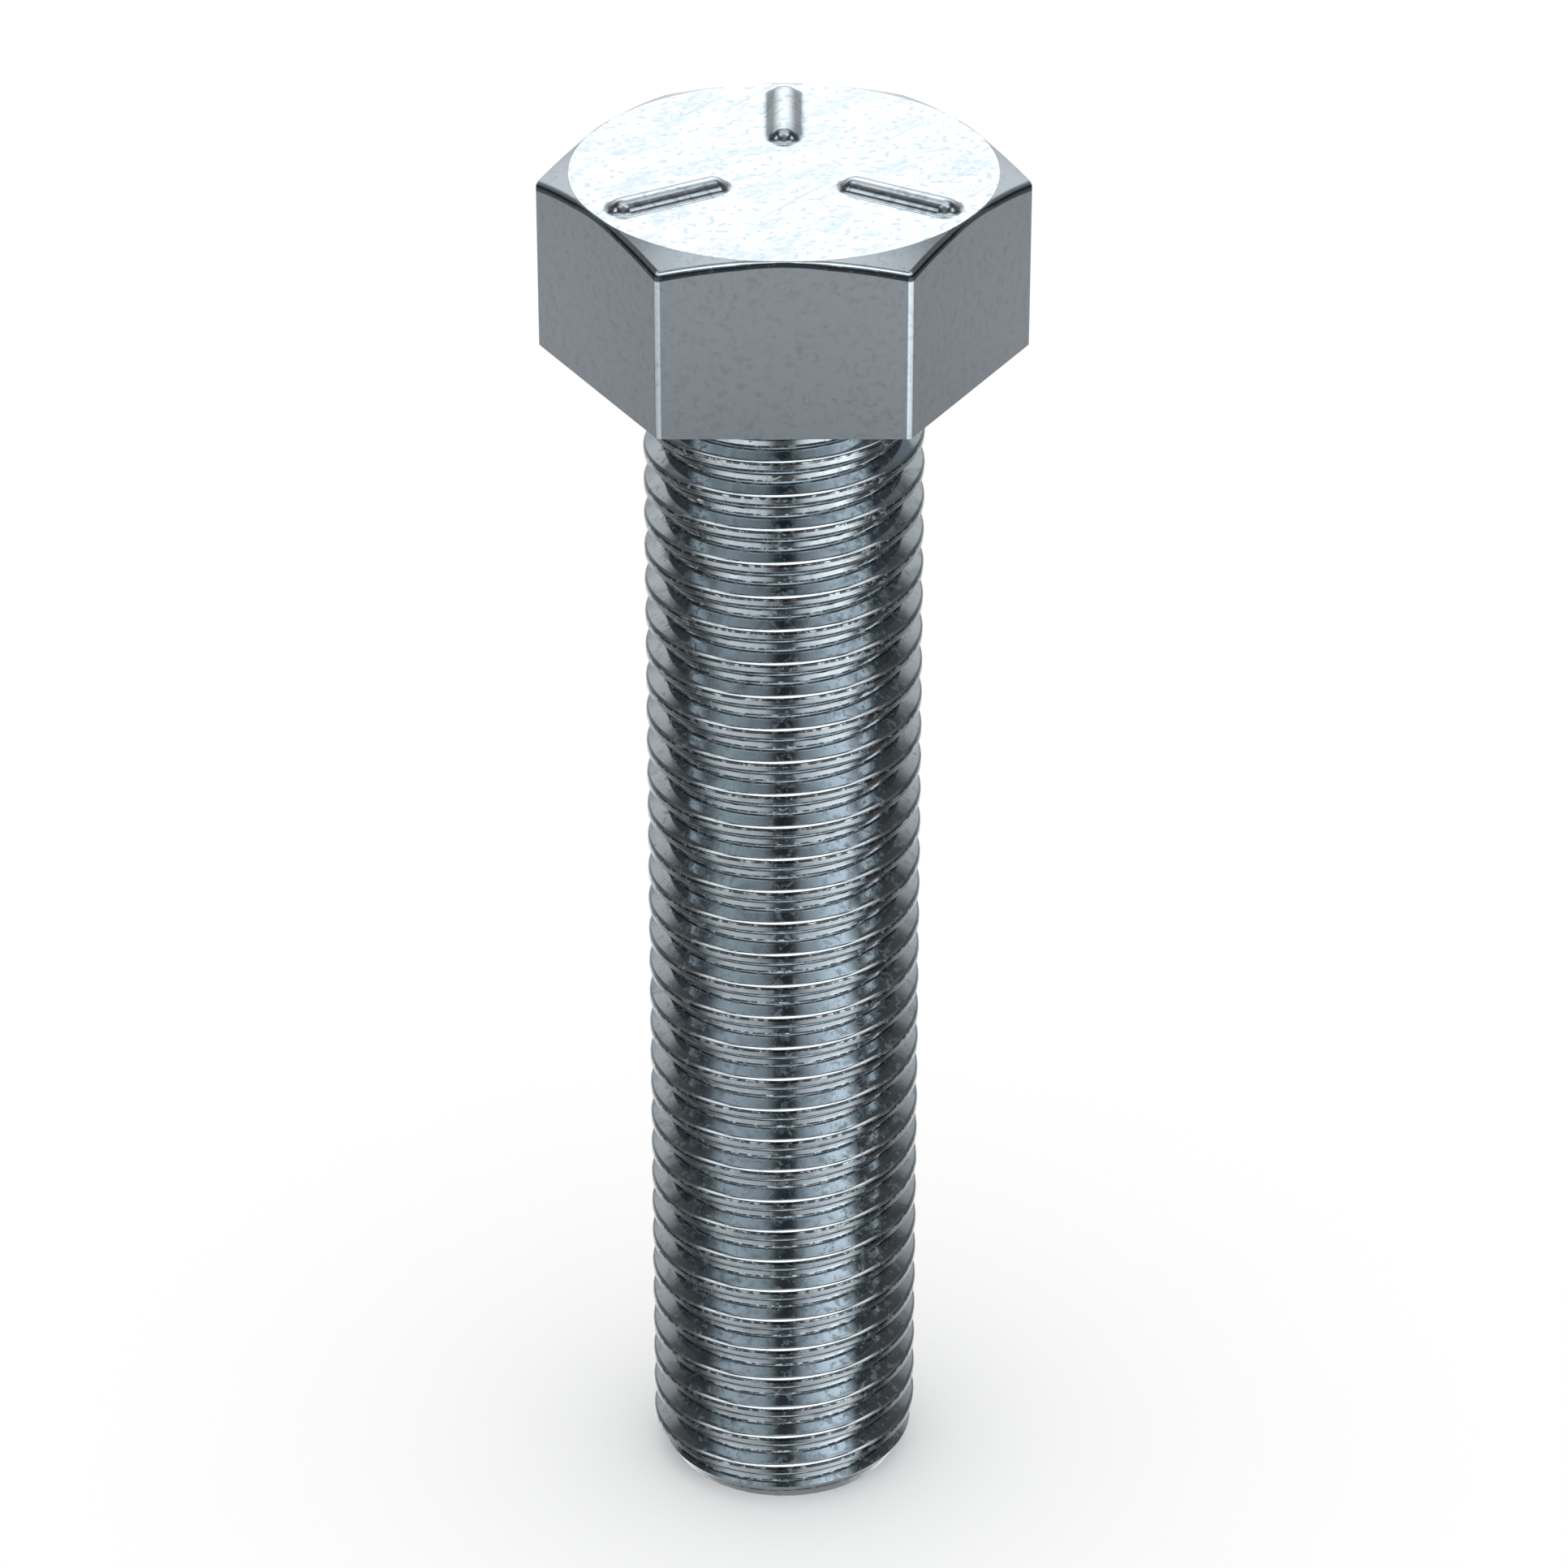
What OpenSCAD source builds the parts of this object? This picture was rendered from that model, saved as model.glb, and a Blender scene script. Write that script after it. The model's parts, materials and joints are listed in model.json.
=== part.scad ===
// Hex tap bolt: a forged hex head on a shank that is threaded all the way up.
// The origin is the centre of the bearing face under the head, with +Z towards the head.

/* [Thread] */
// Diameter over the crests of the thread
thread_d = 19.05; // [14:0.01:22]
// Distance from one crest to the next along the axis
thread_pitch = 2.54; // [2.1:0.01:3]
// Slope of each flank, measured from square to the axis
flank_angle = 30; // [27:0.5:33]
// Turn of the whole thread about the axis, as seen from the head
thread_turn = 336.3; // [0:0.1:359.9]
// How far the groove turns while it runs out under the neck
runout_angle = 240; // [60:10:360]
// Straight edges that stand for one turn of the thread
turn_segments = 32; // [24:2:36]

/* [Shank] */
// Length from the bearing face to the end of the tip
bolt_length = 88.9; // [50:0.1:110]
// Length of the plain neck, measured from the bearing face
neck_length = 2; // [1.6:0.1:6]
// How much wider the neck is than the thread
neck_over = 0.15; // [0.1:0.05:0.4]
// Radius of the fillet where the neck meets the head
neck_fillet = 0.8; // [0.4:0.1:1.2]
// Slope of the chamfer round the tip, measured from the axis
tip_angle = 30.5; // [20:0.5:45]
// How far the edge of the flat tip lies inside the thread root
tip_inset = 0.28; // [0.1:0.02:0.8]

/* [Head] */
// Width of the head across two opposite flats
head_af = 28.575; // [26:0.005:36]
// Height of the head
head_h = 12.7; // [8:0.1:18]
// Radius on the six upright edges of the head
head_edge_r = 0.5; // [0.3:0.1:1.5]
// Slope of the chamfer that rounds off the top corners
crown_angle = 21.5; // [15:0.5:35]
// How far the round top face stays inside the flats
crown_inset = 0.05; // [0.02:0.01:0.5]

/* [Grade marks] */
// Number of raised bars on the top of the head
mark_count = 3; // [3, 5, 6]
// Width of a bar where it meets the top face
mark_w = 2.3; // [1.6:0.1:2.6]
// Height of a bar above the top face
mark_h = 0.65; // [0.2:0.05:0.75]
// Distance from the axis to the inner end of a bar
mark_start = 4.3; // [3.5:0.1:6]
// Gap between the outer end of a bar and the edge of the round top face
mark_edge_gap = 1; // [0.3:0.1:3]

/* [Hidden] */
// Fineness of the true curves
curve_fn = 96;
fillet_fn = 32;
// How far a cutting shape or a buried end reaches past the surface it works on
margin = 1.5;

// The thread is flat at crest and root, in shares of its pitch
crest_share = 0.25;
root_share = 0.27;
crest_r = thread_d / 2;
crest_flat = thread_pitch * crest_share;
root_flat = thread_pitch * root_share;
flank_width = (thread_pitch - crest_flat - root_flat) / 2;
thread_depth = flank_width / tan(flank_angle);
root_r = crest_r - thread_depth;

neck_r = crest_r + neck_over / 2;
tip_r = root_r - tip_inset;

// The helix starts inside the head and runs on past the tip, and the envelope trims both ends
helix_top = margin + 2 * thread_pitch;
last_turns = ceil((helix_top + bolt_length) / thread_pitch) + 1;
last_ring = last_turns * turn_segments;
step_angle = 360 / turn_segments;
step_drop = thread_pitch / turn_segments;
runout_drop = thread_pitch * runout_angle / 360;

corner_angle = 60;
head_corner_r = head_af / 2 / cos(corner_angle / 2);
edge_centre_r = head_corner_r - head_edge_r / cos(corner_angle / 2);
crown_r = head_af / 2 - crown_inset;
mark_rod_r = (pow(mark_w / 2, 2) + pow(mark_h, 2)) / (2 * mark_h);
mark_run = crown_r - mark_edge_gap - mark_start - mark_w;

// Height of the helix at one step
function step_z(i) = helix_top - i * step_drop;

// Radius at the foot of the groove, which is full once its upper edge is clear of the neck
function foot_r(z) = let (drop_below_neck = crest_flat - neck_length - z)
    crest_r - thread_depth * max(0, min(1, 1 + drop_below_neck / runout_drop));

// One ring of the outline: the upper and lower edge of the crest, then of the groove's foot
ring_drops = [0, crest_flat, crest_flat + flank_width, crest_flat + flank_width + root_flat];
function ring_radii(z) = [crest_r, crest_r, foot_r(z), foot_r(z)];
function ring(i) = let (turn = thread_turn - i * step_angle, radii = ring_radii(step_z(i)))
    [for (k = [0:3]) [radii[k] * cos(turn), radii[k] * sin(turn), step_z(i) - ring_drops[k]]];

// Index of an outline point, where point 4 of a ring is point 0 of the ring one turn below
function at(i, k) = k < 4 ? 4 * i + k : 4 * (i + turn_segments);

// Threaded rod by itself: a strip of triangles along the helix and a cap at each end
module thread_rod() {
    points = [for (i = [0:last_ring + turn_segments]) each ring(i)];
    top_hub = len(points);
    end_hub = top_hub + 1;
    hubs = [for (i = [0, last_ring]) [0, 0, step_z(i) - thread_pitch / 2]];
    strip = [for (i = [0:last_ring - 1]) for (k = [0:3])
        each [[at(i, k), at(i, k + 1), at(i + 1, k + 1)], [at(i, k), at(i + 1, k + 1), at(i + 1, k)]]];
    top_cap = [for (i = [0:turn_segments - 1]) [top_hub, at(i, 0), at(i + 1, 0)]];
    top_step = [for (k = [0:3]) [top_hub, at(0, k + 1), at(0, k)]];
    end_cap = [for (i = [last_ring:last_ring + turn_segments - 1]) [end_hub, at(i + 1, 0), at(i, 0)]];
    end_step = [for (k = [0:3]) [end_hub, at(last_ring, k), at(last_ring, k + 1)]];
    polyhedron(concat(points, hubs), concat(strip, top_cap, top_step, end_cap, end_step), convexity = 20);
}

// Space that the shank may fill: a wide column with the tip's chamfer turned on its lower end
module shank_envelope() {
    wide_r = neck_r + margin;
    chamfer_top = (wide_r - tip_r) / tan(tip_angle) - bolt_length;
    rotate_extrude($fn = curve_fn)
        polygon([[0, margin], [wide_r, margin], [wide_r, chamfer_top], [tip_r, -bolt_length], [0, -bolt_length]]);
}

// Plain neck under the head, with its fillet
module neck() {
    rotate_extrude($fn = curve_fn) difference() {
        translate([0, -neck_length]) square([neck_r + neck_fillet, neck_length + margin]);
        translate([neck_r + neck_fillet, -neck_fillet]) circle(neck_fillet, $fn = fillet_fn);
        translate([neck_r, -neck_length - neck_fillet]) square([2 * neck_fillet, neck_length]);
    }
}

// Hexagon with rounded corners, two of its flats facing the front and the back
module head_outline() {
    circle(edge_centre_r, $fn = 6);
    for (a = [0:corner_angle:360 - corner_angle]) rotate(a) {
        translate([edge_centre_r, 0]) circle(head_edge_r, $fn = fillet_fn);
        translate([-edge_centre_r / 2, 0]) square([edge_centre_r, head_af / 2]);
    }
}

// Forged head, its top corners turned off by a shallow cone
module head() {
    wide_r = head_corner_r + margin;
    foot_z = head_h - (wide_r - crown_r) * tan(crown_angle);
    peak_z = head_h + crown_r * tan(crown_angle);
    intersection() {
        linear_extrude(head_h) head_outline();
        rotate_extrude($fn = curve_fn) polygon([[0, -margin], [wide_r, -margin], [wide_r, foot_z], [0, peak_z]]);
    }
}

// One raised bar: the top of a round-ended rod that lies mostly inside the head
module grade_mark() {
    translate([mark_start + mark_w / 2, 0, head_h + mark_h - mark_rod_r]) {
        rotate([0, 90, 0]) cylinder(h = mark_run, r = mark_rod_r, $fn = fillet_fn);
        for (x = [0, mark_run]) translate([x, 0, 0]) sphere(mark_rod_r, $fn = fillet_fn);
    }
}

module bolt() {
    color("silver") {
        head();
        for (i = [0:mark_count - 1]) rotate(90 + i * 360 / mark_count) grade_mark();
        neck();
        intersection() {
            thread_rod();
            shank_envelope();
        }
    }
}

bolt();
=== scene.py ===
"""Looks of a zinc plated hex tap bolt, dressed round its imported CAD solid.

The bolt is one forged and rolled piece of steel, so it is one mesh here too. Its head, its raised
grade marks, its neck and its thread are modelled apart, in millimetres, with the same sizes as the
solid. Then they are joined, finished and brought to metres.
"""

from __future__ import annotations

import json
import logging
import math
from dataclasses import dataclass, field
from enum import Enum
from typing import Any, Callable, Iterable, Sequence

import bpy
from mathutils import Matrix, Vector


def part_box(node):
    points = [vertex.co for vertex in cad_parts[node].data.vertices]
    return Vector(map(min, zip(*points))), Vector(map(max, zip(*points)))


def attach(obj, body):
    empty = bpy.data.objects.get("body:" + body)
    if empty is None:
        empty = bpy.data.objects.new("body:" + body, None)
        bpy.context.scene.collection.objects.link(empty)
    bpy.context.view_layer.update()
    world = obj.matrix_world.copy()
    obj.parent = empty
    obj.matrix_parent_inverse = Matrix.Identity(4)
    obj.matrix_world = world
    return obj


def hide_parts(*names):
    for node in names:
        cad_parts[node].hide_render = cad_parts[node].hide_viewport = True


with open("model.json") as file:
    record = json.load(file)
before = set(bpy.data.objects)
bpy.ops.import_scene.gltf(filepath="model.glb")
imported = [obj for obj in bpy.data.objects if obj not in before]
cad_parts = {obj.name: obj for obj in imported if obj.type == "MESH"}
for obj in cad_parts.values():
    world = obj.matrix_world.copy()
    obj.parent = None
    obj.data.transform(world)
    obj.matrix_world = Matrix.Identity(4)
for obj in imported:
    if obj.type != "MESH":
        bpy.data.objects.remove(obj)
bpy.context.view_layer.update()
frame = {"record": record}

LOG = logging.getLogger("tap_bolt")
# Shapes are drawn in millimetres, and one is so many metres
MM = 0.001
# Points that are closer than this many millimetres are one
MERGE = 1e-4
# How much the normal of a face rises: less than the first is upright, more than the last is level
UPRIGHT = 0.1
SLOPING = 0.5
LEVEL = 0.999
FULL_TURN = 2 * math.pi

Point = tuple[float, float]
Stops = Sequence[tuple[float, float]]


class Join(Enum):
    """Ways in which two closed shapes are joined."""

    ADD = "UNION"
    KEEP_COMMON = "INTERSECT"


class Layer(Enum):
    """Parts of an object's mesh that are selected."""

    VERTEX = "VERT"
    EDGE = "EDGE"
    FACE = "FACE"


def linear(hex_colour: str) -> tuple[float, float, float, float]:
    """Turns an sRGB hex colour into linear values.

    Args:
        hex_colour: six hex digits, such as "b4bbc1".

    Returns:
        Red, green, blue and an alpha of 1.
    """
    parts = [int(hex_colour[i:i + 2], 16) / 255 for i in (0, 2, 4)]
    values = [c / 12.92 if c <= 0.04045 else ((c + 0.055) / 1.055) ** 2.4 for c in parts]
    return (*values, 1.0)


def add_node(tree: bpy.types.NodeTree, kind: str, inputs: dict[Any, Any] | None = None,
             **settings: Any) -> bpy.types.Node:
    """Adds one node to a material.

    Args:
        tree: the node tree that gets it.
        kind: the node's type, such as "ShaderNodeTexNoise".
        inputs: value or source socket of each named or numbered input.
        **settings: options of the node itself.

    Returns:
        The new node.
    """
    node = tree.nodes.new(kind)
    for key, value in settings.items():
        setattr(node, key, value)
    for key, value in (inputs or {}).items():
        if isinstance(value, bpy.types.NodeSocket):
            tree.links.new(value, node.inputs[key])
        else:
            node.inputs[key].default_value = value
    return node


def add_ramp(tree: bpy.types.NodeTree, source: bpy.types.NodeSocket,
             stops: Stops) -> bpy.types.NodeSocket:
    """Turns a value into another through a grey colour ramp.

    Args:
        tree: the node tree.
        source: the value that is looked up.
        stops: place and grey level of each stop.

    Returns:
        The socket of the new value.
    """
    ramp = add_node(tree, "ShaderNodeValToRGB", {0: source})
    while len(ramp.color_ramp.elements) < len(stops):
        ramp.color_ramp.elements.new(1.0)
    for element, (place, level) in zip(ramp.color_ramp.elements, stops):
        element.position = place
        element.color = (level, level, level, 1.0)
    return ramp.outputs[0]


def new_material(name: str) -> bpy.types.Material:
    """Starts a material with an empty node tree.

    Args:
        name: name of the material.

    Returns:
        The material, without any node.
    """
    mat = bpy.data.materials.new(name)
    mat.use_nodes = True
    mat.node_tree.nodes.clear()
    return mat


def choose(obj: bpy.types.Object) -> None:
    """Makes one object active and leaves nothing else selected.

    Args:
        obj: the object.
    """
    bpy.ops.object.select_all(action="DESELECT")
    obj.select_set(True)
    bpy.context.view_layer.objects.active = obj


def edit(obj: bpy.types.Object, layer: Layer) -> None:
    """Opens one object alone in edit mode, with nothing of its mesh selected.

    Args:
        obj: the object.
        layer: which kind of item will be selected.
    """
    if bpy.context.mode != "OBJECT":
        bpy.ops.object.mode_set(mode="OBJECT")
    choose(obj)
    bpy.ops.object.mode_set(mode="EDIT")
    bpy.ops.mesh.select_mode(type=layer.value)
    bpy.ops.mesh.select_all(action="DESELECT")


def done() -> None:
    """Leaves edit mode."""
    bpy.ops.object.mode_set(mode="OBJECT")


def pick(obj: bpy.types.Object, layer: Layer, test: Callable[[Any], bool]) -> int:
    """Opens an object for editing with the items selected that pass a test.

    Args:
        obj: the object.
        layer: which kind of item is tested.
        test: says whether an item is selected.

    Returns:
        How many items are selected.
    """
    edit(obj, layer)
    done()
    mesh = obj.data
    items = {Layer.VERTEX: mesh.vertices, Layer.EDGE: mesh.edges, Layer.FACE: mesh.polygons}[layer]
    count = 0
    for item in items:
        item.select = bool(test(item))
        count += item.select
    bpy.ops.object.mode_set(mode="EDIT")
    return count


def apply_modifier(obj: bpy.types.Object, kind: str, **settings: Any) -> None:
    """Adds a modifier to an object, sets it and applies it.

    Args:
        obj: the object.
        kind: the modifier's type, such as "BEVEL".
        **settings: options of the modifier.
    """
    choose(obj)
    bpy.ops.object.modifier_add(type=kind)
    modifier = obj.modifiers[-1]
    for key, value in settings.items():
        setattr(modifier, key, value)
    bpy.ops.object.modifier_apply(modifier=modifier.name)


def combine(obj: bpy.types.Object, other: bpy.types.Object, how: Join) -> None:
    """Joins a second closed shape to the first and removes the second.

    Args:
        obj: the shape that is kept.
        other: the shape that is used up.
        how: whether all or only the common space is kept.
    """
    apply_modifier(obj, "BOOLEAN", object=other, operation=how.value, solver="EXACT",
                   material_mode="TRANSFER")
    bpy.data.objects.remove(other, do_unlink=True)


def outward(obj: bpy.types.Object) -> None:
    """Merges doubles and turns all faces outwards.

    Args:
        obj: the object.
    """
    edit(obj, Layer.VERTEX)
    bpy.ops.mesh.select_all(action="SELECT")
    bpy.ops.mesh.remove_doubles(threshold=MERGE)
    bpy.ops.mesh.normals_make_consistent(inside=False)
    done()


def draw_profile(name: str, points: Sequence[Point]) -> bpy.types.Object:
    """Draws an open outline in the plane of the axis, one point after the other.

    Args:
        name: name of the new object.
        points: radius and height of each point, in millimetres.

    Returns:
        The object, left in edit mode with nothing selected.
    """
    first_r, first_z = points[0]
    bpy.ops.object.select_all(action="DESELECT")
    bpy.ops.mesh.primitive_plane_add(size=1, location=(0, 0, 0))
    obj = bpy.context.object
    obj.name = name
    bpy.ops.object.mode_set(mode="EDIT")
    bpy.ops.mesh.select_mode(type=Layer.VERTEX.value)
    bpy.ops.mesh.select_all(action="SELECT")
    bpy.ops.mesh.merge(type="CENTER")
    bpy.ops.transform.translate(value=(first_r, 0, first_z))
    for (r0, z0), (r1, z1) in zip(points[:-1], points[1:]):
        bpy.ops.mesh.extrude_vertices_move(TRANSFORM_OT_translate={"value": (r1 - r0, 0, z1 - z0)})
    bpy.ops.mesh.select_all(action="DESELECT")
    return obj


def round_corners(obj: bpy.types.Object, radius: float, turn: float, segments: int,
                  test: Callable[[Any], bool]) -> None:
    """Rounds the corners of an outline that pass a test.

    Args:
        obj: the outline.
        radius: radius of the round, in millimetres.
        turn: angle by which the outline turns at such a corner.
        segments: straight edges in each round.
        test: says whether a vertex is such a corner.
    """
    pick(obj, Layer.VERTEX, test)
    bpy.ops.mesh.bevel(offset=radius * math.tan(turn / 2), segments=segments, affect="VERTICES")
    done()


def lathe(obj: bpy.types.Object, steps: int) -> None:
    """Spins an outline about the axis, into a closed solid where it starts and ends on the axis.

    Args:
        obj: the outline, which becomes the solid.
        steps: flat sides in the full turn.
    """
    edit(obj, Layer.VERTEX)
    bpy.ops.mesh.select_all(action="SELECT")
    bpy.ops.mesh.spin(steps=steps, angle=FULL_TURN, center=(0, 0, 0), axis=(0, 0, 1))
    done()
    outward(obj)


def to_metres(obj: bpy.types.Object) -> None:
    """Brings a mesh from millimetres to metres.

    Args:
        obj: the object, which ends unscaled.
    """
    choose(obj)
    obj.scale = (MM, MM, MM)
    bpy.ops.object.transform_apply(location=False, rotation=False, scale=True)


def mount(name: str) -> dict[str, Any]:
    """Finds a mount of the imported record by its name."""
    return next(m for m in frame["record"]["mounts"] if m["name"] == name)


def mix_colour(tree: bpy.types.NodeTree, share: Any, low: Any, high: Any) -> bpy.types.NodeSocket:
    """Mixes two colours by a share and returns the socket of the result."""
    return add_node(tree, "ShaderNodeMix", {0: share, 6: low, 7: high}, data_type="RGBA").outputs[2]


def calculate(tree: bpy.types.NodeTree, operation: str, *values: Any) -> bpy.types.NodeSocket:
    """Adds one step of arithmetic and returns the socket of the result."""
    return add_node(tree, "ShaderNodeMath", dict(enumerate(values)), operation=operation).outputs[0]


def add_noise(tree: bpy.types.NodeTree, place: bpy.types.NodeSocket, size_mm: float, detail: float = 3.0,
              distortion: float = 0.0) -> bpy.types.NodeSocket:
    """Adds an uneven pattern.

    Args:
        tree: the node tree.
        place: coordinates in millimetres.
        size_mm: size of the pattern's larger spots.
        detail: how many finer layers it has.
        distortion: how far it is smeared.

    Returns:
        The socket of the pattern, about 0.5 in the middle.
    """
    inputs = {"Vector": place, "Scale": 1 / size_mm, "Detail": detail, "Roughness": 0.6,
              "Distortion": distortion}
    return add_node(tree, "ShaderNodeTexNoise", inputs).outputs["Fac"]


@dataclass(frozen=True)
class ZincPlate:
    """Bright zinc plate on steel: a cool grey metal, clouded by its passivation and by handling."""

    name: str
    colour: str
    dirt: str
    roughness: float
    # The grain of real plate is far finer, so it is drawn as coarse as it needs to show
    grain_mm: float
    grain_depth_mm: float

    def millimetres(self, tree: bpy.types.NodeTree, stretch: tuple[float, float, float] = (1, 1, 1),
                    turn: float = 0.0) -> bpy.types.NodeSocket:
        """Coordinates on the bolt in millimetres.

        Args:
            tree: the material's node tree.
            stretch: how many times longer a pattern becomes along each direction.
            turn: angle about the bolt's axis from +X to the first of these directions.

        Returns:
            The socket of the coordinates.
        """
        source = add_node(tree, "ShaderNodeTexCoord").outputs["Object"]
        scale = tuple(MM * s for s in stretch)
        inputs = {"Vector": source, "Rotation": (0, 0, turn), "Scale": scale}
        return add_node(tree, "ShaderNodeMapping", inputs, vector_type="TEXTURE").outputs[0]

    def radius(self, tree: bpy.types.NodeTree, place: bpy.types.NodeSocket) -> bpy.types.NodeSocket:
        """Distance from the bolt's axis.

        Args:
            tree: the material's node tree.
            place: coordinates in millimetres.

        Returns:
            The socket of the distance, in millimetres.
        """
        across = add_node(tree, "ShaderNodeVectorMath", {0: place, 1: (1, 1, 0)}, operation="MULTIPLY")
        length = add_node(tree, "ShaderNodeVectorMath", {0: across.outputs[0]}, operation="LENGTH")
        return length.outputs["Value"]

    def flecked(self, tree: bpy.types.NodeTree, place: bpy.types.NodeSocket, size_mm: float,
                smooth: float, dull: float) -> bpy.types.NodeSocket:
        """Roughness that jumps between bright metal and dull flecks.

        Args:
            tree: the material's node tree.
            place: coordinates in millimetres.
            size_mm: size of the larger flecks.
            smooth: roughness of the bright metal.
            dull: roughness of a fleck.

        Returns:
            The socket of the roughness.
        """
        return add_ramp(tree, add_noise(tree, place, size_mm, 4.0, 0.4), [(0.54, smooth), (0.62, dull)])

    def finish(self, tree: bpy.types.NodeTree, colour: Any, roughness: Any, height: Any) -> None:
        """Adds the metal itself.

        Args:
            tree: the material's node tree.
            colour: socket of the metal's colour.
            roughness: socket or value of the roughness.
            height: socket of the fine grain that bumps the surface.
        """
        bump = add_node(tree, "ShaderNodeBump",
                        {"Strength": 1.0, "Distance": self.grain_depth_mm * MM, "Height": height})
        inputs = {"Base Color": colour, "Metallic": 1.0, "Roughness": roughness,
                  "Normal": bump.outputs[0]}
        metal = add_node(tree, "ShaderNodeBsdfPrincipled", inputs)
        add_node(tree, "ShaderNodeOutputMaterial", {"Surface": metal.outputs[0]})


@dataclass(frozen=True)
class ForgedPlate(ZincPlate):
    """Plate on the forged head: dull sides, a painted shade band on the flats under their rounded upper
    edges, a stained top.
    """

    top_mm: float = 12.7
    crown_mm: float = 14.2375
    crown_slope: float = math.tan(math.radians(21.5))
    stain: str = "7f8b94"
    # Colour of the painted shade band under the crown's edge
    shade_band: str = "3a4146"
    bright_mm: float = 0.12
    bright_least_mm: float = 0.015
    bright_growth: float = 0.3
    band_mm: float = 0.4
    band_growth: float = 0.05
    spot_mm: float = 0.6
    cloud_mm: float = 2.6
    flake_mm: float = 0.45
    drop_mm: float = 0.55
    fleck_mm: float = 0.5
    top_roughness: tuple[float, float] = (0.12, 0.18)
    streak_stretch: tuple[float, float, float] = (1.8, 1.0, 1.0)
    streak_turn: float = math.radians(38)
    scratch_mm: float = 0.3
    scratch_stretch: tuple[float, float, float] = (40.0, 1.0, 1.0)
    scratch_turn: float = math.radians(52)

    def painted_edge_shade(self, tree: bpy.types.NodeTree, place: bpy.types.NodeSocket) -> bpy.types.NodeSocket:
        """Painted shade: a dark band on the flats under the rounded edge of the crown, which grows
        towards the corners and leaves a bright line above it.

        Args:
            tree: the material's node tree.
            place: coordinates in millimetres.

        Returns:
            The socket of the shade band's share, from 0 to 1.
        """
        height = add_node(tree, "ShaderNodeSeparateXYZ", {0: place}).outputs["Z"]
        out = calculate(tree, "SUBTRACT", self.radius(tree, place), self.crown_mm)
        cone = calculate(tree, "MULTIPLY_ADD", out, -self.crown_slope, self.top_mm)
        below = calculate(tree, "SUBTRACT", cone, height)
        width = calculate(tree, "MULTIPLY_ADD", out, self.band_growth, self.band_mm)
        line = calculate(tree, "MULTIPLY_ADD", out, self.bright_growth, self.bright_least_mm)
        bright = calculate(tree, "MINIMUM", line, self.bright_mm)
        share = calculate(tree, "DIVIDE", calculate(tree, "SUBTRACT", below, bright), width)
        inside = add_ramp(tree, share, [(0.0, 0.0), (0.08, 1.0), (0.82, 1.0), (1.0, 0.0)])
        patchy = add_ramp(tree, add_noise(tree, place, self.fleck_mm), [(0.34, 0.85), (0.42, 1.0)])
        return calculate(tree, "MULTIPLY", inside, patchy)

    def sides(self, tree: bpy.types.NodeTree) -> bpy.types.NodeSocket:
        """Colour of the flats and of the chamfer: faint dull spots, and the painted shade band under the
        edge.

        Args:
            tree: the material's node tree.

        Returns:
            The socket of the colour.
        """
        place = self.millimetres(tree)
        spots = add_ramp(tree, add_noise(tree, place, self.spot_mm, 5.0, 0.7), [(0.5, 0.0), (0.72, 0.3)])
        plate = mix_colour(tree, spots, linear(self.colour), linear(self.dirt))
        # The painted shade band darkens the flats under the crown's edge
        return mix_colour(tree, self.painted_edge_shade(tree, place), plate, linear(self.shade_band))

    def top(self, tree: bpy.types.NodeTree) -> bpy.types.NodeSocket:
        """Colour of the top: flakes in drawn out clouds, spots of dried drops and fine scratches.

        Args:
            tree: the material's node tree.

        Returns:
            The socket of the colour.
        """
        place = self.millimetres(tree)
        drawn = self.millimetres(tree, self.streak_stretch, self.streak_turn)
        patches = add_noise(tree, drawn, self.cloud_mm, 3.0, 0.4)
        near = add_ramp(tree, patches, [(0.48, 0.0), (0.56, 1.0)])
        flecks = add_noise(tree, drawn, self.flake_mm, 6.0, 0.5)
        flakes = add_ramp(tree, flecks, [(0.46, 0.0), (0.5, 0.62)])
        clouds = calculate(tree, "MULTIPLY", near, flakes)
        drops = add_noise(tree, place, self.drop_mm, 0.5)
        specks = add_ramp(tree, drops, [(0.63, 0.0), (0.645, 0.8)])
        scored = self.millimetres(tree, self.scratch_stretch, self.scratch_turn)
        scores = add_noise(tree, scored, self.scratch_mm, 2.0)
        scratches = add_ramp(tree, scores, [(0.67, 0.0), (0.7, 0.8)])
        marked = calculate(tree, "MAXIMUM", clouds, calculate(tree, "MAXIMUM", specks, scratches))
        return mix_colour(tree, marked, linear(self.colour), linear(self.stain))

    def material(self) -> bpy.types.Material:
        """Builds the material: even grey sides that show little, and a bright top that looks rained on.

        Returns:
            The material, for the head and its grade marks.
        """
        mat = new_material(self.name)
        tree = mat.node_tree
        place = self.millimetres(tree)
        height = add_node(tree, "ShaderNodeSeparateXYZ", {0: place}).outputs["Z"]
        on_top = calculate(tree, "GREATER_THAN", height, self.top_mm - 0.01)
        grain = add_noise(tree, place, self.grain_mm)
        side_roughness = self.flecked(tree, place, self.fleck_mm, self.roughness - 0.005,
                                      self.roughness + 0.01)
        top_roughness = self.flecked(tree, place, self.fleck_mm, *self.top_roughness)
        roughness = add_node(tree, "ShaderNodeMix", {0: on_top, 2: side_roughness, 3: top_roughness})
        colour = mix_colour(tree, on_top, self.sides(tree), self.top(tree))
        self.finish(tree, colour, roughness.outputs[0], grain)
        return mat


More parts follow.
